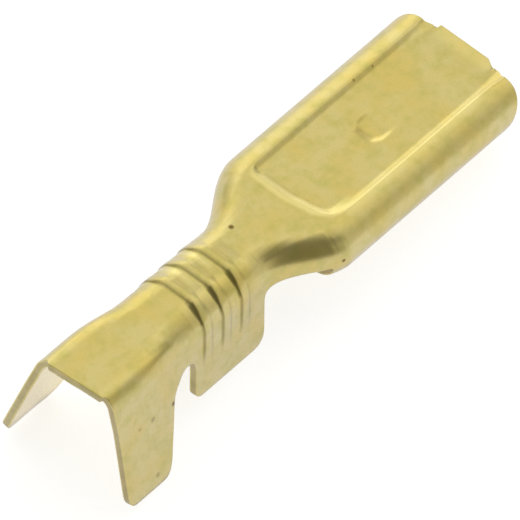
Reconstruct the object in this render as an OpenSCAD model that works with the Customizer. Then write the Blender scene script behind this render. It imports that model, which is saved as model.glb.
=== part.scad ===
// Female spade terminal for a 4.8 mm tab, stamped and rolled from one strip
// of half-hard brass. The terminal lies back up, as it comes to rest on a
// bench: the tips of the insulation wings and the front of the rolls touch
// the surface. +X points to the mouth, Y runs across, +Z is up.
//
// The whole sheet is one lofted surface. A point of the flat blank is named
// by x, its place along the strip, and s, its distance across from the
// centre line. bend_at() says how the blank is bent at x, form_at() says how
// far the dies push the sheet in or out there, and edge_at() is the outline
// that the blanking die cuts.

/* [Sheet] */
// Thickness of the brass strip
sheet_t = 0.3; // [0.25:0.01:0.34]

/* [Receptacle] */
// Length of the receptacle, from the end of the shoulder to the mouth
receptacle_len = 8.95; // [8:0.05:11]
// Width over both rolls
receptacle_w = 5.65; // [5.5:0.05:6.6]
// Height over the rolls
receptacle_h = 2.1; // [1.8:0.05:2.3]
// Angle that each side is rolled through, in degrees
roll_turn = 270; // [235:1:275]
// How far the cut end of each roll falls back from the mouth
roll_rake = 0.8; // [0.3:0.05:1.2]

/* [Panel] */
// Width of the sunk panel in the back, over the tops of its walls
panel_w = 3.65; // [3:0.05:3.8]
// Depth of the sunk panel
panel_depth = 0.17; // [0.1:0.01:0.25]
// Width of the sloping wall of the panel
panel_wall = 0.22; // [0.15:0.01:0.3]
// Distance from the rear of the rolls to the panel
panel_inset = 0.4; // [0.3:0.05:1]
// Radius of the panel's two corners
panel_corner_r = 0.6; // [0.4:0.05:0.9]

/* [Dimple] */
// Width of the locking dimple
dimple_w = 1.4; // [1:0.05:1.8]
// Depth of the dimple below the panel
dimple_depth = 0.12; // [0.06:0.01:0.18]
// Distance from the end of the panel to the steep end of the dimple
dimple_inset = 3.6; // [2.5:0.05:4]
// Length of the ramp that runs out towards the mouth
dimple_ramp = 1.5; // [1:0.05:2]

/* [Lip] */
// Width of the lead-in lip at the mouth
lip_w = 2.5; // [2:0.05:2.8]
// How far the lip stands out in front of the rolls
lip_out = 0.13; // [0.1:0.01:0.25]
// How far the lip is flared up
lip_rise = 0.22; // [0.1:0.01:0.35]
// Length of the flare
lip_flare = 0.45; // [0.4:0.01:0.6]
// Width of the relief notch on each side of the lip
notch_w = 0.17; // [0.12:0.01:0.25]
// Depth of the relief notches behind the mouth
notch_depth = 0.1; // [0.06:0.01:0.2]

/* [Shoulder] */
// Length of the shoulder, over which the neck widens into the receptacle
shoulder_len = 3.1; // [2.6:0.05:4]
// Half width of the blank at the neck, measured round the bend
neck_blank = 2.1; // [2.05:0.05:2.5]
// Half width of the blank where the rolls start, measured round the bend
shoulder_blank = 2.9; // [2.8:0.05:3.3]
// How late the shoulder widens: at 1 its edge is straight, above 1 it is hollow
shoulder_curve = 1.6; // [1:0.1:2]
// How far the rolls reach back over the shoulder
roll_back = 0.7; // [0.4:0.05:1]
// Radius of the rear corner of each roll
roll_corner_r = 0.45; // [0.2:0.05:0.7]
// Radius of the inner corners that the blanking die leaves
fillet_r = 0.35; // [0.2:0.05:0.45]

/* [Wire barrel] */
// Length of the wire barrel
wire_len = 3.55; // [3.2:0.05:4]
// Width over the wire barrel, at the top of its wings
wire_w = 2.9; // [2.7:0.05:3.3]
// Radius of the barrel's back, to the outside of the sheet
wire_bend_r = 1.05; // [0.9:0.05:1.3]
// Half width of the blank, measured round the bend to the wing's edge
wire_blank = 4.55; // [3.8:0.05:4.8]
// Angle by which each wire wing leans out, in degrees
wire_lean = 7; // [0:0.5:12]
// Radius of the front corners of all four wings
wing_corner_r = 0.5; // [0.3:0.05:0.7]
// Radius of the rear corners of the wire wings
wire_corner_r = 0.3; // [0.2:0.05:0.5]

/* [Beads] */
// Number of grip beads round the wire barrel
bead_count = 3; // [2:1:3]
// Distance from bead to bead
bead_pitch = 0.97; // [0.9:0.01:1.05]
// Height of the beads
bead_h = 0.1; // [0.05:0.01:0.14]
// Distance from the rear of the wire barrel to the first bead
bead_inset = 0.08; // [0.05:0.01:0.15]
// How far the beads run down each side, measured round the bend
bead_reach = 2.8; // [2.4:0.05:3.1]

/* [Insulation barrel] */
// Length of the insulation barrel
grip_len = 3.45; // [3:0.05:4.2]
// Length of the gap between the two barrels
grip_gap = 1.2; // [1:0.05:1.5]
// Half width of the blank in the gap, measured round the bend
gap_blank = 2.45; // [2.2:0.05:2.7]
// Width over the insulation barrel, at the top of its wings
grip_w = 3.25; // [2.9:0.05:3.6]
// Radius of the two bends, to the outside of the sheet
grip_bend_r = 0.65; // [0.5:0.05:0.9]
// Half width of the blank, measured round the bend to the wing's edge
grip_blank = 6.2; // [5.2:0.05:6.4]
// Angle by which each insulation wing leans out, in degrees
grip_lean = 14.5; // [7:0.5:20]
// How far the rear edge of each insulation wing runs forward to its tip
grip_rear_taper = 0.1; // [0:0.05:0.5]
// How far its front edge runs back to the tip
grip_front_taper = 1.1; // [0.4:0.05:1.3]
// Radius of the rear corners of the insulation wings
grip_corner_r = 0.4; // [0.2:0.05:0.6]
// Width of the stub that is left where the terminal is cut from its carrier
cutoff_w = 2.25; // [1.8:0.05:2.6]
// How far the stub stands out behind the barrel
cutoff_len = 0.2; // [0.1:0.05:0.4]

/* [Hidden] */

half_t = sheet_t / 2;

// Stations along the strip, from the rear
wire_start = grip_len + grip_gap;
wire_end = wire_start + wire_len;
shoulder_end = wire_end + shoulder_len;
roll_start = shoulder_end - roll_back;
mouth = shoulder_end + receptacle_len;
lip_end = mouth + lip_out;
flare_start = mouth - lip_flare;
notch_start = mouth - notch_depth;
panel_start = roll_start + panel_inset;
dimple_start = panel_start + dimple_inset;
dimple_end = dimple_start + dimple_ramp;
bead_start = wire_start + bead_inset;
bead_end = bead_start + bead_count * bead_pitch;
// The back narrows from the insulation barrel to the wire barrel between these
blend_start = grip_len / 2;
blend_end = grip_len + grip_gap / 2;
// The rake of the rolls starts here, and grows between these two lines
rake_start = mouth - 3 * roll_rake;

// Middle surface of the rolls: flat back, then an arc
roll_r = receptacle_h / 2 - half_t;
roll_flat = receptacle_w / 2 - half_t - roll_r;
roll_blank = roll_flat + arc_len(roll_r, roll_turn);

// Middle surface of the barrels
wire_r = wire_bend_r - half_t;
wire_flat = wire_w / 2 - wire_bend_r;
grip_r = grip_bend_r - half_t;
grip_flat = grip_w / 2 - grip_bend_r;

function arc_len(r, angle) = r * angle * PI / 180;
function mix(a, b, f) = a + (b - a) * f;
function ramp(a, b, x) = min(1, max(0, (x - a) / (b - a)));
function smooth(a, b, x) = let (f = ramp(a, b, x)) f * f * (3 - 2 * f);
// Height of a quarter circle of radius r, dist in from where it starts
function quarter(r, dist) = let (d = min(r, max(0, dist))) sqrt(r * r - (r - d) * (r - d));
function unit(v) = v / norm(v);

// ---- How the blank is bent at x: half width of the flat, radius, angle ----
function lean_at(x) = mix(grip_lean, wire_lean, ramp(grip_len, wire_start, x));
function barrel_at(x) = let (f = smooth(blend_start, blend_end, x))
    [mix(grip_flat, wire_flat, f), mix(grip_r, wire_r, f), 90 - lean_at(x)];
function bend_at(x) =
    let (b = barrel_at(x), f = smooth(wire_end, shoulder_end, x))
    [mix(b[0], roll_flat, f), mix(b[1], roll_r, f),
     mix(b[2], roll_turn, smooth(wire_end + fillet_r, roll_start, x))];

// Middle surface before any pressing
function bent(x, s) =
    let (b = bend_at(x), d = abs(s), turn = min(b[2], max(0, d - b[0]) / arc_len(b[1], 1)),
         rest = max(0, d - b[0] - arc_len(b[1], b[2])))
    [x,
     sign(s) * (min(d, b[0]) + b[1] * sin(turn) + rest * cos(turn)),
     -b[1] * (1 - cos(turn)) - rest * sin(turn)];

// Outward normal of that surface, from two short steps along it
step = 0.01;
function normal_at(x, s) =
    unit(cross(bent(x + step, s) - bent(x - step, s), bent(x, s + step) - bent(x, s - step)));

// ---- How far the dies push the sheet out ----
function bead_form(x, s) =
    x < bead_start || x > bead_end ? 0 :
    bead_h * (1 - cos(360 * (x - bead_start) / bead_pitch)) / 2
        * (1 - smooth(bead_reach - bead_pitch / 2, bead_reach, abs(s)));
// Depth of the edge at (dx, ds) inside a pocket whose corners have radius r
function inside(dx, ds, r) = r - norm([max(0, r - dx), max(0, r - ds)]);
function panel_form(x, s) =
    -panel_depth * smooth(0, panel_wall,
        inside(x - panel_start, panel_w / 2 - abs(s), panel_corner_r));
function dimple_form(x, s) =
    -dimple_depth * (1 - smooth(dimple_start + dimple_w / 4, dimple_end, x))
        * smooth(0, panel_wall, inside(x - dimple_start, dimple_w / 2 - abs(s), dimple_w / 2));
function lip_form(x, s) =
    lip_rise * pow(ramp(flare_start, lip_end, x), 2)
        * (1 - smooth(lip_w / 2, lip_w / 2 + notch_w, abs(s)));
function form_at(x, s) =
    bead_form(x, s) + panel_form(x, s) + dimple_form(x, s) + lip_form(x, s);

// Point of the finished sheet, at height h over its middle surface. The cut
// end of a roll falls back as it goes round.
function rake_at(x, s) = roll_rake * ramp(rake_start, mouth, x)
    * smooth(roll_flat + roll_r / 3, roll_flat + 2.4 * roll_r, abs(s));
// The insulation wings narrow towards their tips, from this line outwards
taper_start = 0.6 * (gap_blank + grip_gap / 2);
function taper_at(x, s) = x > grip_len ? 0 :
    mix(grip_rear_taper, -grip_front_taper, x / grip_len) * ramp(taper_start, grip_blank, abs(s));
function sheet_point(x, s, h) = let (xr = x - rake_at(x, s) + taper_at(x, s))
    bent(xr, s) + normal_at(xr, s) * (form_at(xr, s) + h);

// ---- Outline of the blank ----
// Edge of the strip without its wings, and the root line of the wings
function root_at(x) =
    x < grip_len || (x > wire_start && x < wire_end) ?
        mix(gap_blank + grip_gap / 2, neck_blank + fillet_r, ramp(wire_start, wire_end, x)) :
    x <= wire_start ?
        gap_blank + grip_gap / 2
            - quarter(grip_gap / 2, min(x - grip_len, wire_start - x)) :
    mix(neck_blank, shoulder_blank,
        pow(ramp(wire_end + fillet_r, roll_start - fillet_r, x), shoulder_curve)) + fillet_r - quarter(fillet_r, x < roll_start ? min(x - wire_end, roll_start - x) : 0);
// Edge of a wing that runs from a to b, with its rear corner of radius r
function wing_edge(x, a, b, full, r) =
    x < (a + b) / 2 ? full - r + quarter(r, x - a) :
    full - wing_corner_r + quarter(wing_corner_r, b - x);
function edge_at(x) =
    x <= grip_len ? wing_edge(x, 0, grip_len, grip_blank, grip_corner_r) :
    x <= wire_end ? wing_edge(x, wire_start, wire_end, wire_blank, wire_corner_r) :
    roll_blank - roll_corner_r + quarter(roll_corner_r, x - roll_start);

// ---- Grid of the loft ----
// Stations from a to b, without a: even, or closer together at one end
function even(a, b, n) = [for (i = [1 : n]) mix(a, b, i / n)];
function ease_in(a, b, n) = [for (i = [1 : n]) mix(a, b, 1 - cos(90 * i / n))];
function ease_out(a, b, n) = [for (i = [1 : n]) mix(a, b, sin(90 * i / n))];

grip_stations = concat([0], ease_in(0, grip_corner_r, 3),
    even(grip_corner_r, grip_len - wing_corner_r, 4),
    ease_out(grip_len - wing_corner_r, grip_len, 3));
gap_stations = concat(ease_in(grip_len, grip_len + grip_gap / 2, 3),
    ease_out(grip_len + grip_gap / 2, wire_start, 3));
wire_stations = concat(ease_in(wire_start, bead_start, 2),
    even(bead_start, bead_end, 5 * bead_count),
    ease_out(bead_end, wire_end, 4));
shoulder_stations = concat(ease_in(wire_end, wire_end + fillet_r, 3),
    even(wire_end + fillet_r, roll_start - fillet_r, 5),
    ease_out(roll_start - fillet_r, roll_start, 3));
receptacle_stations = concat(ease_in(roll_start, panel_start, 4),
    even(panel_start, panel_start + panel_wall, 3),
    even(panel_start + panel_wall, panel_start + panel_corner_r, 2),
    even(panel_start + panel_corner_r, dimple_start, 3),
    ease_in(dimple_start, dimple_start + dimple_w / 2, 5),
    even(dimple_start + dimple_w / 2, dimple_end, 3),
    even(dimple_end, flare_start, 3),
    even(flare_start, notch_start, 2),
    [mouth]);
stations = concat([-cutoff_len], grip_stations, gap_stations, wire_stations, shoulder_stations,
    receptacle_stations, [lip_end]);

// Lines across one half of the strip, in the receptacle: the dimple, the lip
// and its notch, the wall of the panel, then on to the root
lip_line = 5;
root_full = shoulder_blank + fillet_r;
root_lines = concat([0, 0.4, 0.7, 1] * (dimple_w / 2),
    [(dimple_w + lip_w) / 4, lip_w / 2, lip_w / 2 + notch_w],
    even(panel_w / 2 - panel_wall, panel_w / 2, 2),
    even(panel_w / 2, root_full, 6));
root_count = len(root_lines) - 1;
// Lines from the root to the edge: a wing is flat and a roll is not
wing_count = 4;
roll_count = 8;
half_count = root_count + roll_count;

// Behind the barrel the lip's line runs along the edge of the stub instead
function stub_line(k) = let (full = root_lines[lip_line])
    k <= lip_line ? root_lines[k] / full * cutoff_w / 2 :
    mix(cutoff_w / 2, root_at(0), (root_lines[k] - full) / (root_full - full));
function line_at(x, k) =
    x <= 0 && k <= root_count ? stub_line(k) :
    k <= root_count ? root_lines[k] * root_at(x) / root_full :
    mix(root_at(x), edge_at(x),
        min(1, (k - root_count) / (x <= wire_end ? wing_count : roll_count)));

// Is there sheet between lines k and k + 1 in the span that is centred on x?
function has_sheet(x, k) =
    x < -cutoff_len || x > lip_end ? false :
    x < 0 || x > mouth ? k < lip_line :
    x > roll_start ? k < half_count && (x < notch_start || k != lip_line) :
    x < grip_len || (x > wire_start && x < wire_end) ? k < root_count + wing_count :
    k < root_count;
function span_at(i) = i < 0 || i > len(stations) - 2 ? lip_end + 1 : (stations[i] + stations[i + 1]) / 2;
function cell(i, j) = has_sheet(span_at(i), j < 0 ? -1 - j : j);

points = [for (x = stations) for (j = [-half_count : half_count]) for (h = [half_t, -half_t])
    sheet_point(x, sign(j) * line_at(x, abs(j)), h)];
// Number of the outer point on station i and line j; the inner one follows it
function corner(i, j) = 2 * (i * (2 * half_count + 1) + j + half_count);
function quad(a, b, c, d, j) = j < 0 ? [[b, c, d], [b, d, a]] : [[a, b, c], [a, c, d]];
function rim(open, a, b) = open ? [] : [[b, a, a + 1], [b, a + 1, b + 1]];

faces = [for (i = [0 : len(stations) - 2]) for (j = [-half_count : half_count - 1])
    if (cell(i, j))
        let (a = corner(i, j), b = corner(i, j + 1), c = corner(i + 1, j + 1), d = corner(i + 1, j))
            each concat(quad(a, b, c, d, j), quad(d + 1, c + 1, b + 1, a + 1, j),
                rim(cell(i - 1, j), a, b), rim(cell(i, j + 1), b, c),
                rim(cell(i + 1, j), c, d), rim(cell(i, j - 1), d, a))];

// ---- How the terminal rests ----
// It stands on the front corners of the insulation wings and on the rolls
foot = sheet_point(grip_len - wing_corner_r, grip_blank, -half_t);
rest_pitch = atan2(-foot[2] - receptacle_h, mouth - roll_rake - foot[0]);
function laid(p) = [p[0] * cos(rest_pitch) + p[2] * sin(rest_pitch), p[1],
    p[2] * cos(rest_pitch) - p[0] * sin(rest_pitch)];
used = [for (f = faces) each f];
laid_x = [for (n = used) laid(points[n])[0]];
laid_z = [for (n = used) laid(points[n])[2]];
laid_centre = (min(laid_x) + max(laid_x)) / 2;

module terminal() {
    color("#d2bd6b")
        translate([-laid_centre, 0, -min(laid_z)])
            rotate([0, rest_pitch, 0])
                polyhedron(points, faces);
}

terminal();
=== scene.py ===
# %% [markdown]
# # A female spade terminal in stamped brass
# The terminal is one piece of thin brass sheet, blanked, pressed and rolled in a
# progressive die. The CAD model already holds every bend and pressing, so this
# lesson doesn't model the shape again. It takes a copy of the CAD mesh, makes the
# pressings crisp, rounds the edges that the die sheared, smooths the bends, and then
# gives the brass its wear, its painted shade and painted highlights, its finish and its light.

# %% Load the frame
import math

import bmesh
import bpy
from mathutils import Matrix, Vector
from mathutils.bvhtree import BVHTree


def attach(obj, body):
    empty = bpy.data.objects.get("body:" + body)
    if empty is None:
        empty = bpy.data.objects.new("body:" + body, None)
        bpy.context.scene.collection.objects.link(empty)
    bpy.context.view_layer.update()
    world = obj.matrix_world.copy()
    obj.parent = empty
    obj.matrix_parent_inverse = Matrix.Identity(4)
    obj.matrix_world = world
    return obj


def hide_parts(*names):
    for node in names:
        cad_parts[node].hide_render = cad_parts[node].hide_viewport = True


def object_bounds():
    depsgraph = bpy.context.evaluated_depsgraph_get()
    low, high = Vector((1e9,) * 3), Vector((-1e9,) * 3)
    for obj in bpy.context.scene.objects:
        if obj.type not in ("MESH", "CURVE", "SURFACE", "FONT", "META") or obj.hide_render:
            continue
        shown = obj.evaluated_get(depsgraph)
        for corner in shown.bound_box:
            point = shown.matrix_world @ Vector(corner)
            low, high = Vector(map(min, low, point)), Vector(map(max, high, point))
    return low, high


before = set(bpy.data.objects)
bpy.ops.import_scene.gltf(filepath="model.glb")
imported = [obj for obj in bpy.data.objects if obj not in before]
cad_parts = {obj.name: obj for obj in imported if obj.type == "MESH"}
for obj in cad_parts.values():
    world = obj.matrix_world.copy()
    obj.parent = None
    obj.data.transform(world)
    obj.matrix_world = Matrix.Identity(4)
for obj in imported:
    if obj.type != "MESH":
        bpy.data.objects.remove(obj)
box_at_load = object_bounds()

MM = 0.001
low, high = (Vector(corner) for corner in box_at_load)
centre = (low + high) / 2
print("terminal, mm:", [round(side / MM, 2) for side in high - low])

# %% [markdown]
# ## Colours and nodes
# Colours are written as sRGB hex values, as a colour picker gives them. Blender
# mixes light in linear values, so one function converts them. A second one adds
# a node with its settings and links, which keeps each material short to read.

# %% Two helpers
def linear(hex_colour):
    """An sRGB colour such as "#DACA82" as linear red, green, blue and alpha."""
    parts = [int(hex_colour[i : i + 2], 16) / 255 for i in (1, 3, 5)]
    return [p / 12.92 if p <= 0.04045 else ((p + 0.055) / 1.055) ** 2.4 for p in parts] + [1.0]


def add(tree, kind, settings=None, **inputs):
    """Adds a node. An input goes by its name, or as _0 or _6 by its number.

    Its value is a constant, or a socket to link from.
    """
    node = tree.nodes.new(kind)
    for name, value in (settings or {}).items():
        setattr(node, name, value)
    for name, value in inputs.items():
        socket = node.inputs[int(name[1:]) if name[1:].isdigit() else name.replace("_", " ")]
        if isinstance(value, bpy.types.NodeSocket):
            tree.links.new(value, socket)
        else:
            socket.default_value = value
    return node


print("lemon brass in linear values:", [round(v, 3) for v in linear("#DACA82")])

# %% [markdown]
# ## The sheet, from the CAD mesh
# A frame's mesh is loose triangles. Merging its doubles and joining the triangles
# in pairs gives back the grid of quads that the sheet was lofted on. That grid
# matters here, because a subdivision surface smooths quads evenly and would
# pucker on triangles. The CAD mesh itself is left alone.

# %% Copy and merge
SAME_PLACE = 0.0005

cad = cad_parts["terminal"]
sheet = bmesh.new()
sheet.from_mesh(cad.data)
bmesh.ops.remove_doubles(sheet, verts=sheet.verts, dist=SAME_PLACE * MM)
bmesh.ops.join_triangles(
    sheet,
    faces=sheet.faces,
    angle_face_threshold=math.radians(50),
    angle_shape_threshold=math.radians(180),
)
quads = sum(len(face.verts) == 4 for face in sheet.faces)
print(len(sheet.faces), "faces,", quads, "of them quads")

# %% [markdown]
# The cut faces are the ones that run through the thickness of the sheet. They are
# marked now, while the sheet is still the same thickness everywhere: two opposite
# edges of such a face are as long as the sheet is thick, and the other two are sharp.

# %% Mark the sheared faces
SHEET = 0.3
THICKNESS_SLACK = 0.001
SHARP = math.radians(40)

cut_layer = sheet.faces.layers.int.new("cut")
for face in sheet.faces:
    if len(face.edges) == 4:
        pairs = list(face.edges)[0::2], list(face.edges)[1::2]
        for thick, rims in (pairs, pairs[::-1]):
            through = all(abs(e.calc_length() - SHEET * MM) < THICKNESS_SLACK * MM for e in thick)
            if through and all(e.calc_face_angle(0) > SHARP for e in rims):
                face[cut_layer] = 1
print(sum(face[cut_layer] for face in sheet.faces), "sheared faces")

# %% [markdown]
# The terminal lies pitched down on the table, and its features run along the strip.
# So places on it are measured along the strip and out from its back, in millimetres,
# from the rear edge of the insulation barrel. Left is the side of positive y.

# %% The strip's own directions
PITCH = math.radians(8.958)
ALONG = Vector((math.cos(PITCH), 0, -math.sin(PITCH)))
OUT = Vector((math.sin(PITCH), 0, math.cos(PITCH)))

# The middle of the sheet at the rear edge of the insulation barrel, as the CAD model places it.
REAR = Vector((-9.780, 0, 5.103)) * MM


def on_strip(point):
    """Place along the strip, across it and out from the middle of the sheet, in mm."""
    offset = point - REAR
    return offset.dot(ALONG) / MM, point.y / MM, offset.dot(OUT) / MM


def ramp(start, end, value):
    """0 before start, 1 after end and straight between them."""
    return min(1, max(0, (value - start) / (end - start)))


def smooth(start, end, value):
    """0 before start, 1 after end and an S-curve between them."""
    f = ramp(start, end, value)
    return f * f * (3 - 2 * f)


print("mouth is", round(on_strip(Vector((high.x, 0, 0)))[0], 2), "mm along the strip")

# %% [markdown]
# ## Loop cuts where the dies pressed hard
# The beads, the panel and the dimple have tight creases, and a crease needs close
# rows of vertices. A loop cut adds them: it takes a ring of edges that face each
# other across quads, and halves them all, or cuts them in three. Subdividing the
# whole sheet would also do, but it would spend most of its faces on flat metal.

# %% Loop cuts
CAD_BEAD_START, BEAD_PITCH, BEAD_COUNT = 4.73, 0.97, 3
CAD_BEADS_END = CAD_BEAD_START + BEAD_COUNT * BEAD_PITCH
SPINE_HALF = 0.3
PLAIN_START, PLAIN_END = 13, 13.9
UNDER_SKIN = 0.05

# Where the rings start and end, whether that is along the strip, and their cuts.
CUT_STRETCHES = {
    "the beads": (CAD_BEAD_START, CAD_BEADS_END, True, 2),
    "the front of the last bead": (CAD_BEADS_END, 8.1, True, 1),
    "the panel's rear wall": (10.6, 11.6, True, 1),
    "the dimple's rear wall": (14.6, 15.7, True, 1),
    "the dimple's sides": (0.28, 1.24, False, 2),
    "the panel's side walls": (1.25, 1.85, False, 2),
}


def ring(edge):
    """All the edges that face this one across quads."""
    found, todo = {edge}, [edge]
    while todo:
        for loop in todo.pop().link_loops:
            facing = loop.link_loop_next.link_loop_next.edge
            if len(loop.face.verts) == 4 and facing not in found:
                found.add(facing)
                todo.append(facing)
    return found


def loop_cut(first, last, lengthwise, cuts):
    """Cuts every ring that crosses the outside of the back between first and last.

    Rings along the strip are found on its spine, and rings across on a plain stretch.
    """
    rings = []
    for edge in sheet.edges:
        ends = [on_strip(v.co) for v in edge.verts]
        x, y, out = ((a + b) / 2 for a, b in zip(*ends))
        runs_along = abs(ends[0][0] - ends[1][0]) > abs(ends[0][1] - ends[1][1])
        place = x if lengthwise else abs(y)
        searched = abs(y) < SPINE_HALF if lengthwise else PLAIN_START < x < PLAIN_END
        if runs_along == lengthwise and searched and out > -UNDER_SKIN and first < place < last:
            if not any(edge in known for known in rings):
                rings.append(ring(edge))
    bmesh.ops.subdivide_edges(
        sheet, edges=list(set().union(*rings)), cuts=cuts, use_grid_fill=True
    )
    return len(rings)


for name, stretch in CUT_STRETCHES.items():
    print(loop_cut(*stretch), "rings cut at", name)

# %% [markdown]
# ## Crisp beads
# The three beads across the wire barrel are grooves on its inside, which grip the
# wire when it is crimped. The CAD model presses them as soft waves. A real bead is
# struck by a narrow punch: it rises steeply at its rear, stands flat for a short way
# and falls off gently to the front. A displacement texture could draw that too, but
# it would push the inside of the sheet the wrong way. So each vertex moves by the
# difference between the struck bead and the CAD one, straight out from the barrel.

# %% The shape of a bead
BEAD_HEIGHT = 0.11
STEP_START, STEP_END, STEP_DROP = 0.3, 0.6, 0.6
TAIL_CURVE = 1.3
CAD_BEAD_HEIGHT, CAD_ROWS = 0.1, 5


def bead_now(t):
    """Height of the CAD bead, which is straight between its rows. One bead is 1 long."""
    if not 0 < t < BEAD_COUNT:
        return 0
    row = math.floor(t * CAD_ROWS)
    a, b = (CAD_BEAD_HEIGHT * (1 - math.cos(2 * math.pi * r / CAD_ROWS)) / 2 for r in (row, row + 1))
    return a + (b - a) * (t * CAD_ROWS - row)


def bead_struck(t, rise_end):
    """Height of a struck bead, from the foot of its steep side. One bead is 1 long."""
    if not 0 < t < BEAD_COUNT:
        return 0
    t = t % 1
    rise = math.sin(math.pi / 2 * ramp(0, rise_end, t))
    step = STEP_DROP * smooth(STEP_START, STEP_END, t)
    tail = (1 - STEP_DROP) * ramp(STEP_END, 1, t) ** TAIL_CURVE
    return BEAD_HEIGHT * (rise - step - tail)


heights = [bead_struck(t / 10, 0.2) for t in range(1, 10)]
print("along one bead, mm:", [round(height, 3) for height in heights])

# %% [markdown]
# The barrel is nearly flat across its back and round towards its wings. A bead bows
# a little forwards on the back, and on the wings it is lower and steeper. It ends
# before the wings do. Where two values stand in brackets, something sets in at the
# first and is complete at the second.

# %% Strike the beads
BARREL_FLAT, BARREL_RADIUS, WING_ANGLE = 0.4, 0.9, math.radians(83)
BEAD_START, BEAD_BOW = 4.95, 0.1
BEADS_END = BEAD_START + BEAD_COUNT * BEAD_PITCH
RISE_ON_BACK, RISE_ON_WING, RISE_SIDES = 0.22, 0.09, (0, 0.4)
WING_LOSS, LOSS_SIDES = 0.6, (0.1, 0.6)
BEADS_FADE, CAD_BEADS_FADE = (1.6, 2.1), (1.4, 1.88)
BEADS_DOWN_TO = 2.2


def round_barrel(y, out):
    """How far round the barrel a place is, 0 on its back to 1 on a wing, and the way out."""
    angle = min(WING_ANGLE, math.atan2(max(0, abs(y) - BARREL_FLAT), out + BARREL_RADIUS))
    outwards = Vector((0, math.copysign(math.sin(angle), y), 0)) + OUT * math.cos(angle)
    return angle / WING_ANGLE, outwards


moved = 0
for vertex in sheet.verts:
    x, y, out = on_strip(vertex.co)
    if CAD_BEAD_START < x < BEADS_END and out > -BEADS_DOWN_TO:
        side, outwards = round_barrel(y, out)
        now = bead_now((x - CAD_BEAD_START) / BEAD_PITCH)
        now *= 1 - smooth(*CAD_BEADS_FADE, -out)
        start = BEAD_START + BEAD_BOW * (1 - side)
        rise_end = RISE_ON_BACK + (RISE_ON_WING - RISE_ON_BACK) * smooth(*RISE_SIDES, side)
        struck = bead_struck((x - start) / BEAD_PITCH, rise_end)
        struck *= 1 - WING_LOSS * smooth(*LOSS_SIDES, side)
        struck *= 1 - smooth(*BEADS_FADE, -out)
        vertex.co += outwards * (struck - now) * MM
        moved += 1
print(moved, "vertices moved at the beads")

# %% [markdown]
# ## The panel and its dimple
# The tab slides in under the panel, and the dimple snaps into the tab's hole. A
# punch presses both down between the rolls. The wall of such a pocket is round at its
# top, where the sheet bends over the die, and crisp at its foot, where the punch
# sits. Its depth here is a function of how far a place lies inside the outline.

# %% Pockets
PANEL_START, PANEL_HALF, PANEL_DEPTH, PANEL_SKEW = 10.86, 1.8, 0.12, 0.2
LEFT_WALL, RIGHT_WALL, REAR_WALL = 0.15, 0.22, 0.4
LEFT_CORNER, RIGHT_CORNER = 0.5, 0.9
DIMPLE_START, DIMPLE_HALF = 14.85, 0.62
DIMPLE_DEPTH, DIMPLE_WALL = 0.095, 0.12


def inside(along, across, corner):
    """How far inside a pocket's outline, and how much the nearest wall is the rear one."""
    a, b = max(0, corner - along), max(0, corner - across)
    at_rear = a * a / (a * a + b * b) if a + b else 0
    return corner - math.hypot(a, b), at_rear


def pocket(place, depth, side_wall, rear_wall):
    """Depth inside a pocket. Its walls are round at the top and crisp at the foot."""
    inward, at_rear = place
    width = side_wall + (rear_wall - side_wall) * at_rear
    return depth * (1 - math.cos(math.pi / 2 * ramp(0, width, inward)))


def in_panel(x, y):
    """Place in the panel. Its rear wall slants forwards on the right."""
    along = x - PANEL_START - PANEL_SKEW * max(0, -y)
    return inside(along, PANEL_HALF - abs(y), LEFT_CORNER if y > 0 else RIGHT_CORNER)


def in_dimple(x, y):
    """Place in the dimple, which has a round rear end."""
    return inside(x - DIMPLE_START, DIMPLE_HALF - abs(y), DIMPLE_HALF)


print("panel's depth 0.2 mm inside its left wall:",
      round(pocket(in_panel(14, PANEL_HALF - 0.2), PANEL_DEPTH, LEFT_WALL, REAR_WALL), 3))

# %% [markdown]
# Each vertex of the panel goes to where the pockets put it, half a thickness above
# or below the middle of the sheet. The dimple has no front wall and runs out gently
# towards the mouth, so that a tab slides over it and its hole catches on the rear.

# %% Panel and dimple
FLARE_START = 19.8
BESIDE_PANEL = 0.03
ROLLS_BELOW = 0.6
MIDDLE_SLACK = 0.03
DIMPLE_FADE = (DIMPLE_START + 0.3, 16.1)

moved = 0
for vertex in sheet.verts:
    x, y, out = on_strip(vertex.co)
    near = PANEL_START < x < FLARE_START and abs(y) < PANEL_HALF + BESIDE_PANEL
    if near and out > -ROLLS_BELOW:
        form = -pocket(in_panel(x, y), PANEL_DEPTH, LEFT_WALL if y > 0 else RIGHT_WALL, REAR_WALL)
        fade = 1 - smooth(*DIMPLE_FADE, x)
        form -= fade * pocket(in_dimple(x, y), DIMPLE_DEPTH, DIMPLE_WALL, DIMPLE_WALL)
        skin = SHEET / 2 if out > form - MIDDLE_SLACK else -SHEET / 2
        vertex.co += OUT * (form + skin - out) * MM
        moved += 1
print(moved, "vertices moved at the panel")

# %% [markdown]
# The lip at the mouth guides the tab in. From a worn die it comes out nearly flat,
# drawn a little forwards, and with its right corner cut off. The notches beside it
# let it bend without the rolls, and they are filled a little as the lip is drawn.

# %% Mouth lip
LIP_START, LIP_END, LIP_HALF, NOTCH = 20.15, 20.38, 1.25, 0.17
LIP_RISE, LIP_FLATTENED = 0.22, 0.9
LIP_DRAWN, DRAWN_SIDES = 0.2, (1.3, 1.8)
NOTCH_FILLED, NOTCH_ROW, NOTCH_SLACK = 0.06, 0.05, 0.04
CORNER_CUT, CORNER_SLACK = 0.27, 0.03

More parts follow.
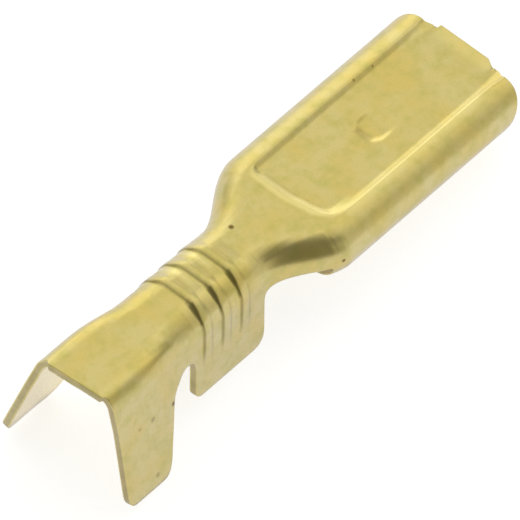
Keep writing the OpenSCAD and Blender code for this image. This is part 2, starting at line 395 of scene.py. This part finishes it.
for vertex in sheet.verts:
    x, y, out = on_strip(vertex.co)
    if x > FLARE_START and out > -ROLLS_BELOW:
        rise = LIP_RISE * ramp(FLARE_START, LIP_END, x) ** 2
        rise *= 1 - smooth(LIP_HALF, LIP_HALF + NOTCH, abs(y))
        drawn = LIP_DRAWN * smooth(FLARE_START, LIP_START, x)
        drawn *= 1 - smooth(*DRAWN_SIDES, abs(y))
        beside_lip = abs(abs(y) - LIP_HALF - NOTCH / 2) < NOTCH / 2 + NOTCH_SLACK
        if beside_lip and LIP_START - NOTCH_ROW < x < LIP_START + NOTCH_ROW:
            drawn += NOTCH_FILLED
        cut = 0
        if y > -LIP_HALF - CORNER_SLACK:
            cut = CORNER_CUT * ramp(LIP_START, LIP_END, x) * min(0, y)
        vertex.co += (ALONG * drawn - OUT * rise * LIP_FLATTENED - Vector((0, cut, 0))) * MM
print("lip rises", round(LIP_RISE * (1 - LIP_FLATTENED), 3), "mm")

# %% [markdown]
# Where the shoulder turns into the rolls, the rows of the CAD mesh swerve round the
# corner of the blank, and rolled metal shows no such rows. The vertices are spread
# evenly there, and after each step they are pulled back on to the sheet's surface,
# because smoothing alone would shrink the bend.

# %% Even out the rows behind the rolls
ROLL_START = 10.6
SWERVE_BEHIND, SWERVE_AHEAD, SWERVE_SIDE = 0.8, 0.3, 0.9
EVEN_STEPS = 8


def on_rim(vertex):
    """Whether a vertex touches a sheared face."""
    return any(face[cut_layer] for face in vertex.link_faces)


surface = BVHTree.FromBMesh(sheet)
corner_zone = []
for vertex in sheet.verts:
    x, y, out = on_strip(vertex.co)
    at_corner = ROLL_START - SWERVE_BEHIND < x < ROLL_START + SWERVE_AHEAD
    if at_corner and abs(y) > SWERVE_SIDE and not on_rim(vertex):
        corner_zone.append(vertex)
for step in range(EVEN_STEPS):
    bmesh.ops.smooth_vert(
        sheet, verts=corner_zone, factor=0.5, use_axis_x=True, use_axis_y=True, use_axis_z=True
    )
    for vertex in corner_zone:
        vertex.co = surface.find_nearest(vertex.co)[0]
print(len(corner_zone), "vertices evened out behind the rolls")

# %% [markdown]
# ## Painted shade and painted highlights
# The creases and the feet of some pressed walls get painted shade, a darker colour,
# and the walls and faces that would catch the light get painted highlights, a paler
# one. A painted map could hold both, but here they are written on the vertices as two
# layers, worked out from the same outlines as the pressings, so that the painted shade can't miss its
# crease.

# %% Two layers of painted shade and painted highlight
# One vertex layer holds painted shade and the other holds painted highlights.
painted_shade = sheet.verts.layers.float.new("painted_shade")
highlighted = sheet.verts.layers.float.new("highlighted")
sheet.normal_update()


def stripe(value, middle, half_width, strength=1):
    """A painted stripe that is strongest in its middle and ends at its half width."""
    return strength * max(0, 1 - abs(value - middle) / half_width)


print("painted_light layers:", [layer.name for layer in (painted_shade, highlighted)])

# %% [markdown]
# At the beads, a dark line of painted shade lies in the crease at the foot of each
# steep side. It is faint on the back and dark on the sides. A fainter line of painted
# shade lies at the bead's front, and the metal between two beads gets a painted
# highlight where it faces up, mostly on the left.

# %% Painted shade and highlights at the beads
BARREL_END = 8.2
BEFORE_BEADS = 0.3
FACING_OUT = 0.2
CREASE, LINE_HALF, LINES_FADE = 0.07, 0.08, (1.4, 2.35)
# How strong the painted shade in the creases is, on the back and on the sides.
FAINT_SHADE, SIDE_SHADE, SHADE_RIGHT, SHADE_LEFT = 0.05, 0.8, (0.1, 0.9), (0.7, 1.3)
FRONT_LINE, FRONT_STRENGTH, FRONT_SIDES = 0.42, 0.3, (0.3, 0.8)
# Where the painted highlight between two beads lies, and how strong it is.
HIGHLIGHT_BEHIND, HIGHLIGHT_HALF, HIGHLIGHT_STRENGTH, HIGHLIGHT_LEFT = 0.24, 0.2, 0.8, (-0.5, 0.3)


def crease_shade(y):
    """The painted shade in a crease. It turns dark sooner on the right side than on the left."""
    sideways = smooth(*SHADE_RIGHT, -y) if y < 0 else smooth(*SHADE_LEFT, y)
    return FAINT_SHADE + SIDE_SHADE * sideways


for vertex in sheet.verts:
    x, y, out = on_strip(vertex.co)
    side, outwards = round_barrel(y, out)
    at_beads = BEAD_START - BEFORE_BEADS < x < BARREL_END
    if at_beads and vertex.normal.dot(outwards) > FACING_OUT:
        fade = 1 - smooth(*LINES_FADE, -out)
        front_strength = FRONT_STRENGTH * smooth(*FRONT_SIDES, side) * fade
        highlight_strength = HIGHLIGHT_STRENGTH * smooth(*HIGHLIGHT_LEFT, y) * (1 - side)
        for bead in range(BEAD_COUNT):
            line = BEAD_START + CREASE + BEAD_BOW * (1 - side) + BEAD_PITCH * bead
            # Painted shade in the crease and, fainter, at the bead's front.
            vertex[painted_shade] += stripe(x, line, LINE_HALF, crease_shade(y) * fade)
            vertex[painted_shade] += stripe(x, line + FRONT_LINE, LINE_HALF, front_strength)
            # A painted highlight on the metal between two beads.
            if bead > 0:
                vertex[highlighted] += stripe(x, line - HIGHLIGHT_BEHIND, HIGHLIGHT_HALF, highlight_strength)
print(sum(v[painted_shade] > 0 for v in sheet.verts), "vertices with grime at the beads")

# %% [markdown]
# The right bend of the insulation barrel is painted a little darker than the metal
# beside it, as painted shade where the sheet leans. The insides of the wings are
# painted brighter, as a painted reflection of the white floor.

# %% Painted shade and reflection at the wings
BARREL_START = 4.65
BEND_SHADE, BEND_LEAN, BEND_HALF = 0.2, 0.7, 0.5
WINGS_BELOW, INSIDE_REFLECTION = 0.5, 0.9

for vertex in sheet.verts:
    x, y, out = on_strip(vertex.co)
    side, outwards = round_barrel(y, out)
    if x < BARREL_START and y < 0:
        lean = vertex.normal.angle(OUT)
        # Painted shade on the right bend, set by how far the sheet leans.
        vertex[painted_shade] += stripe(lean, BEND_LEAN, BEND_HALF, BEND_SHADE)
    on_wing = x < BARREL_END and out < -WINGS_BELOW
    if on_wing and vertex.normal.dot(outwards) < 0 and not on_rim(vertex):
        # A painted reflection of the floor on the insides of the wings.
        vertex[highlighted] += INSIDE_REFLECTION
print(sum(v[highlighted] > 0 for v in sheet.verts), "vertices rubbed or bright so far")

# %% [markdown]
# Round the panel, its rear and right walls get painted highlights and its left wall
# holds a thin line of painted shade. The dimple has painted shade on its left and a
# painted highlight on its right edge. Every line runs at one distance inside its outline.

# %% Painted shade and highlights at the panel
# Painted highlights and painted shade along the panel's walls, round the dimple and on the lip.
REAR_HIGHLIGHT = {"middle": 0.14, "half_width": 0.3, "strength": 1.2}
REAR_HIGHLIGHT_MOST = 0.75
RIGHT_HIGHLIGHT = {"middle": 0.06, "half_width": 0.18, "strength": 0.6}
LEFT_LINE = {"middle": LEFT_WALL, "half_width": 0.06, "strength": 0.6}
WALL_PAINT_END = (19, 20)
DIMPLE_LINE = {"middle": 0.1, "half_width": 0.1, "strength": 0.35}
DIMPLE_HIGHLIGHT = {"middle": 0.06, "half_width": 0.12, "strength": 0.6}
DIMPLE_LINE_ACROSS, DIMPLE_LINE_END = (-0.45, 0.1), (15.3, 15.7)
DIMPLE_HIGHLIGHT_ACROSS, DIMPLE_HIGHLIGHT_END = (0.1, 0.5), (15.3, 15.8)
LIP_HIGHLIGHT, LIP_TOP, LIP_MARGIN = 0.25, (19.75, 20.0), 0.2
BEHIND_PANEL, ROUND_PANEL, PANEL_ABOUT = 0.3, 0.15, 0.4


def panel_shade_and_highlight(x, y):
    """Painted shade and painted highlights along the walls of the panel."""
    inward, at_rear = in_panel(x, y)
    at_side = (1 - at_rear) * (1 - smooth(*WALL_PAINT_END, x))
    rear = min(REAR_HIGHLIGHT_MOST, stripe(inward, **REAR_HIGHLIGHT)) * at_rear
    if y < 0:
        return 0, rear + stripe(inward, **RIGHT_HIGHLIGHT) * at_side
    return stripe(inward, **LEFT_LINE) * at_side, rear


def dimple_shade_and_highlight(x, y):
    """Painted shade and a painted highlight round the rear of the dimple."""
    inward = in_dimple(x, y)[0]
    on_left = smooth(*DIMPLE_LINE_ACROSS, y) * (1 - smooth(*DIMPLE_LINE_END, x))
    on_right = smooth(*DIMPLE_HIGHLIGHT_ACROSS, -y) * (1 - smooth(*DIMPLE_HIGHLIGHT_END, x))
    return stripe(inward, **DIMPLE_LINE) * on_left, stripe(inward, **DIMPLE_HIGHLIGHT) * on_right


def lip_highlight(x, y):
    """The lip has no painted shade, and its top gets a painted highlight."""
    across = 1 - smooth(LIP_HALF - LIP_MARGIN, LIP_HALF, abs(y))
    return 0, LIP_HIGHLIGHT * smooth(*LIP_TOP, x) * across


for vertex in sheet.verts:
    x, y, out = on_strip(vertex.co)
    at_panel = x > PANEL_START - BEHIND_PANEL and abs(y) < PANEL_HALF + ROUND_PANEL
    if at_panel and abs(out) < PANEL_ABOUT and vertex.normal.dot(OUT) > FACING_OUT:
        # Painted shade goes to one layer and painted highlights to the other.
        for shade_paint, highlight_paint in (panel_shade_and_highlight(x, y), dimple_shade_and_highlight(x, y), lip_highlight(x, y)):
            vertex[painted_shade] += shade_paint
            vertex[highlighted] += highlight_paint
    vertex[painted_shade] = min(1, vertex[painted_shade])
    vertex[highlighted] = min(1, vertex[highlighted])
print(sum(v[painted_shade] > 0 for v in sheet.verts), "vertices with grime,",
      sum(v[highlighted] > 0 for v in sheet.verts), "highlighted")

# %% [markdown]
# ## A rear end that isn't quite true
# The wings of a loose terminal get pushed about in the bag. Here the left one stands
# a little to the rear of the right one, and the back between them is drawn askew. The
# stub at the rear, where the terminal was cut off its carrier strip, is worn short.

# %% Askew rear
ASKEW, ASKEW_REACH, BACK_HALF = 0.2, 3, 1.4
STUB_WORN = 0.35

for vertex in sheet.verts:
    x, y, out = on_strip(vertex.co)
    if x <= BARREL_START:
        from_spine = min(abs(y), BACK_HALF) + max(0, -out)
        reach = min(1, from_spine / ASKEW_REACH)
        keep = 1 - ramp(0, BARREL_START, x)
        back = math.copysign(ASKEW * reach * keep, y) + STUB_WORN * min(0, x)
        vertex.co -= ALONG * back * MM
print("each wing is askew by", ASKEW, "mm")

# %% [markdown]
# ## The sheared edges
# The blanking die cuts the strip with a punch. A cut edge has a rounded side where
# the punch pulled the sheet in, and a sharper side where it broke through. Edges
# like these catch a thin line of light, which a perfectly square corner never
# does. So every edge between a cut face and the rolled sheet gets a narrow bevel.

# %% Round the sheared edges
EDGE_ROUND = 0.03

corners = [
    edge for edge in sheet.edges
    if len(edge.link_faces) == 2 and sum(face[cut_layer] for face in edge.link_faces) == 1
]
rounded = bmesh.ops.bevel(
    sheet,
    geom=corners,
    offset=EDGE_ROUND * MM,
    offset_type="OFFSET",
    affect="EDGES",
    segments=1,
    profile=0.5,
    material=-1,
    clamp_overlap=True,
)
for face in rounded["faces"]:
    face[cut_layer] = 0
for face in sheet.faces:
    face.smooth = True
    face.material_index = face[cut_layer]
print(len(corners), "edges rounded")

# %% [markdown]
# The finished sheet becomes one object that takes the place of the CAD node. One
# level of subdivision surface rounds the bends between the rows of the mesh, which
# a bending die also leaves round.

# %% Make the piece
mesh = bpy.data.meshes.new("terminal_sheet")
sheet.to_mesh(mesh)
sheet.free()
terminal = bpy.data.objects.new("terminal_sheet", mesh)
bpy.context.scene.collection.objects.link(terminal)
smoothing = terminal.modifiers.new("smooth_bends", "SUBSURF")
smoothing.levels = smoothing.render_levels = 1
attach(terminal, "root")
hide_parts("terminal")
print("sheet has", len(mesh.polygons), "faces before smoothing")

# %% [markdown]
# ## Satin brass strip
# The strip is cartridge brass, about seven parts copper to three of zinc, cold
# rolled to half hard. Rolling leaves a satin surface, and the press oil and the
# air stain it in soft clouds between lemon, orange and olive. It is a metal, so
# its colour is the colour of what it reflects, and the default IOR stays. The
# sheared edges are the same brass, torn rough by the punch, so they look duller.
#
# A knock is a small pit or burr that has turned dark. It is drawn in the colour only,
# by the distance from its place, because it is too small to cast a shadow.

# %% Knocks
# The place of each knock in millimetres, its radius and how dark it has turned.
KNOCKS = {
    "pit on the neck": (-1.23, 0.54, 3.90, 0.14, 0.9),
    "rear nick on the left panel wall": (6.53, 1.75, 2.62, 0.09, 0.7),
    "front nick on the left panel wall": (7.47, 1.70, 2.45, 0.08, 0.6),
    "burr at the rear of the right roll": (0.79, -2.73, 2.69, 0.11, 0.9),
    "burr at the front of the right wing": (-7.11, -1.93, 2.44, 0.13, 0.9),
    "front spot on the right wing": (-8.23, -2.01, 2.88, 0.15, 0.4),
    "rear spot on the right wing": (-8.89, -2.01, 3.04, 0.12, 0.3),
    "spot at the end of the right wing": (-8.70, -2.62, 0.59, 0.14, 0.4),
}
KNOCK_MIDDLE = 0.3


def knocks(tree, place):
    """A mask of the knocks. Each is darkest in its middle and fades out at its radius."""
    mask = 0.0
    for x, y, z, radius, dark in KNOCKS.values():
        gap = add(tree, "ShaderNodeVectorMath", {"operation": "DISTANCE"},
                  _0=place, _1=Vector((x, y, z)) * MM)
        pit = add(tree, "ShaderNodeMapRange", {"interpolation_type": "SMOOTHSTEP"},
                  Value=gap.outputs["Value"], From_Min=radius * MM,
                  From_Max=KNOCK_MIDDLE * radius * MM, To_Max=dark)
        mask = add(tree, "ShaderNodeMath", {"operation": "ADD"}, _0=mask, _1=pit.outputs[0]).outputs[0]
    return mask


print(len(KNOCKS), "knocks")

# %% [markdown]
# The colours are laid over each other, each one where its own mask is: the clouds,
# the olive patches, the two layers of painted shade and painted highlight, and the
# knocks. Painting them into one image would need a picture file, and masks like these
# stay sharp at any distance.
# The clouds of stain are one to two millimetres across, and the olive patches about
# half a millimetre.

# %% Colour of the brass
CLOUD_SIZE = 1.6
CLOUD_STARTS, CLOUD_FULL = 0.4, 0.65
PATCH_STARTS, PATCH_FULL = 0.45, 0.75


def brass_colour(tree, place, patch, lemon, orange, olive):
    """Lemon brass under clouds of orange, patches of olive, painted shade, painted highlights and
    knocks.
    """
    cloud = add(tree, "ShaderNodeTexNoise", Vector=place, Scale=1 / (CLOUD_SIZE * MM),
                Detail=3.0, Roughness=0.6)
    warm = add(tree, "ShaderNodeMapRange", Value=cloud.outputs["Fac"],
               From_Min=CLOUD_STARTS, From_Max=CLOUD_FULL)
    green = add(tree, "ShaderNodeMapRange", Value=patch.outputs["Fac"],
                From_Min=PATCH_STARTS, From_Max=PATCH_FULL)
    highlight_mask = add(tree, "ShaderNodeAttribute", {"attribute_name": "highlighted"})
    shade_mask = add(tree, "ShaderNodeAttribute", {"attribute_name": "painted_shade"})
    layers = (
        (warm.outputs["Result"], orange),
        (green.outputs["Result"], olive),
        # Painted highlight in pale yellow.
        (highlight_mask.outputs["Fac"], "#FFEE9C"),
        # Painted shade in dark olive.
        (shade_mask.outputs["Fac"], "#6A5A1C"),
        (knocks(tree, place), "#6E5426"),
    )
    colour = linear(lemon)
    for mask, shade in layers:
        colour = add(tree, "ShaderNodeMix", {"data_type": "RGBA"},
                     _0=mask, _6=colour, _7=linear(shade)).outputs[2]
    return colour


print("clouds of stain, mm:", CLOUD_SIZE)

# %% [markdown]
# The olive patches are a little rougher than the rest, so one noise drives both. The
# grain of rolled strip is some 0.02 mm wide, which is too fine to show, so it is
# drawn as coarse as 0.07 mm, and shallow.

# %% Brass material
PATCH_SIZE = 0.55
GRAIN_SIZE, GRAIN_HEIGHT, GRAIN_STRENGTH = 0.07, 0.006, 0.12
SMOOTHER, ROUGHER = 0.02, 0.03


def brass(name, lemon, orange, olive, roughness):
    """Satin brass: a metal with stains, a shine that varies a little, and a fine grain."""
    material = bpy.data.materials.new(name)
    material.use_nodes = True
    tree = material.node_tree
    shader = tree.nodes["Principled BSDF"]
    place = add(tree, "ShaderNodeTexCoord").outputs["Object"]
    patch = add(tree, "ShaderNodeTexNoise", Vector=place, Scale=1 / (PATCH_SIZE * MM),
                Detail=4.0, Roughness=0.65)
    colour = brass_colour(tree, place, patch, lemon, orange, olive)
    tree.links.new(colour, shader.inputs["Base Color"])
    shader.inputs["Metallic"].default_value = 1.0
    shine = add(tree, "ShaderNodeMapRange", Value=patch.outputs["Fac"], From_Min=0.3, From_Max=0.7,
                To_Min=roughness - SMOOTHER, To_Max=roughness + ROUGHER)
    tree.links.new(shine.outputs["Result"], shader.inputs["Roughness"])
    grain = add(tree, "ShaderNodeTexNoise", Vector=place, Scale=1 / (GRAIN_SIZE * MM), Detail=2.0)
    bump = add(tree, "ShaderNodeBump", Strength=GRAIN_STRENGTH, Distance=GRAIN_HEIGHT * MM,
               Height=grain.outputs["Fac"])
    tree.links.new(bump.outputs["Normal"], shader.inputs["Normal"])
    return material


mesh.materials.append(brass("rolled_brass_strip", "#DACA82", "#DBC570", "#C8BD68", 0.28))
mesh.materials.append(brass("sheared_brass_edge", "#C0B274", "#BCA86C", "#ACA066", 0.38))
print("materials:", [m.name for m in mesh.materials])

# %% [markdown]
# ## A pale floor and soft light
# Metal shows its surroundings, so light for metal is built from large soft areas
# and not from small lamps. The floor is paper. It glows a little for the camera and
# for reflections, which makes it white there, and it still takes the shadow that
# the terminal drops on it.

# %% Floor
FLOOR_HALF = 600

ground = bmesh.new()
bmesh.ops.create_grid(ground, x_segments=1, y_segments=1, size=FLOOR_HALF * MM)
floor_mesh = bpy.data.meshes.new("floor")
ground.to_mesh(floor_mesh)
ground.free()
floor = bpy.data.objects.new("floor", floor_mesh)
bpy.context.scene.collection.objects.link(floor)
print("floor side, mm:", 2 * FLOOR_HALF)

# %% [markdown]
# Uncoated white paper is quite rough and takes light evenly from every side. Its
# glow differs for what looks at it: the camera sees a plain white glow, and a
# reflection in the brass sees a slightly blue one, as from a daylight window.

# %% White paper
PAPER_GLOW = 0.78
MIRROR_GLOW = 0.92

paper = bpy.data.materials.new("white_paper")
paper.use_nodes = True
tree = paper.node_tree
paper_shader = tree.nodes["Principled BSDF"]
paper_shader.inputs["Base Color"].default_value = linear("#C9C8C6")
paper_shader.inputs["Roughness"].default_value = 0.9
ray = add(tree, "ShaderNodeLightPath")
seen = add(tree, "ShaderNodeMath", {"operation": "MAXIMUM"},
           _0=ray.outputs["Is Camera Ray"], _1=ray.outputs["Is Transmission Ray"])
mirrored = add(tree, "ShaderNodeMath", {"operation": "MULTIPLY"},
               _0=ray.outputs["Is Glossy Ray"], _1=MIRROR_GLOW)
glow = add(tree, "ShaderNodeMath", {"operation": "MULTIPLY_ADD"},
           _0=seen.outputs[0], _1=PAPER_GLOW, _2=mirrored.outputs[0])
shade = add(tree, "ShaderNodeMix", {"data_type": "RGBA"}, _0=ray.outputs["Is Glossy Ray"],
            _6=linear("#FFFFFF"), _7=linear("#D6DAFF"))
tree.links.new(shade.outputs[2], paper_shader.inputs["Emission Color"])
tree.links.new(glow.outputs[0], paper_shader.inputs["Emission Strength"])
floor_mesh.materials.append(paper)
print("paper glows", PAPER_GLOW, "to the camera and", MIRROR_GLOW, "in reflections")

# %% [markdown]
# ## The studio
# What a piece of satin metal looks like is nearly all reflection, so the room has to
# be right in every direction and not only where the lamps are. It is a grey room
# with a few large soft areas in it, each given by its azimuth, its elevation, how far
# it spreads, all in degrees, and how bright it is. The window is low beyond the left
# roll, and only a faint wall stands on the camera's side of the room.

# %% Room
ROOM_GREY = 0.22
SOFT_AREAS = {
    "window": (145, 0, 45, 0.9),
    "wall by the window": (110, 16, 50, 0.34),
    "ceiling over the window": (160, 56, 45, 0.68),
    "screen beyond the mouth": (75, 40, 35, 0.68),
    "card by the right roll": (30, 10, 35, 0.5),
    "wall behind the wings": (255, 35, 35, 0.25),
}


def direction(azimuth, elevation):
    """Unit vector towards a place in the room. Azimuth -90 is behind the wings."""
    a, e = math.radians(azimuth), math.radians(elevation)
    return Vector((math.sin(a) * math.cos(e), -math.cos(a) * math.cos(e), math.sin(e)))


world = bpy.data.worlds.new("studio")
bpy.context.scene.world = world
world.use_nodes = True
room = world.node_tree
look = add(room, "ShaderNodeTexCoord").outputs["Generated"]
total = ROOM_GREY
for azimuth, elevation, spread, level in SOFT_AREAS.values():
    towards = add(room, "ShaderNodeVectorMath", {"operation": "DOT_PRODUCT"},
                  _0=look, _1=direction(azimuth, elevation))
    area = add(room, "ShaderNodeMapRange", {"interpolation_type": "SMOOTHSTEP"},
               Value=towards.outputs["Value"], From_Min=math.cos(math.radians(spread)))
    total = add(room, "ShaderNodeMath", {"operation": "MULTIPLY_ADD"},
                _0=area.outputs[0], _1=level, _2=total).outputs[0]
room.links.new(total, room.nodes["Background"].inputs["Strength"])
room.nodes["Background"].inputs["Color"].default_value = linear("#FFFFFF")
bpy.context.scene.view_settings.view_transform = "Standard"
print("soft areas:", ", ".join(SOFT_AREAS))

# %% [markdown]
# ## The camera
# A long lens from well back suits a small part, because its far end then hardly
# shrinks. The camera stands to the rear and right of the terminal, and looks down
# on its back.

# %% Camera
CAMERA_AZIMUTH, CAMERA_ELEVATION = -49.5, 57.7
CAMERA_DISTANCE = 623
VIEW_WIDTH = 17.5
AIM_LEFT, AIM_DOWN = 0.24, 0.93
CLIP_NEAR, CLIP_FAR = 10, 5000

towards_camera = direction(CAMERA_AZIMUTH, CAMERA_ELEVATION)
right = Vector((0, 0, 1)).cross(towards_camera).normalized()
up = towards_camera.cross(right)
lens = bpy.data.cameras.new("camera")
lens.lens = lens.sensor_width * CAMERA_DISTANCE / VIEW_WIDTH
lens.clip_start, lens.clip_end = CLIP_NEAR * MM, CLIP_FAR * MM
camera = bpy.data.objects.new("camera", lens)
aim = centre - right * AIM_LEFT * MM - up * AIM_DOWN * MM
camera.location = aim + towards_camera * CAMERA_DISTANCE * MM
camera.rotation_euler = towards_camera.to_track_quat("Z", "Y").to_euler()
bpy.context.scene.collection.objects.link(camera)
bpy.context.scene.camera = camera
print("lens, mm:", round(lens.lens))
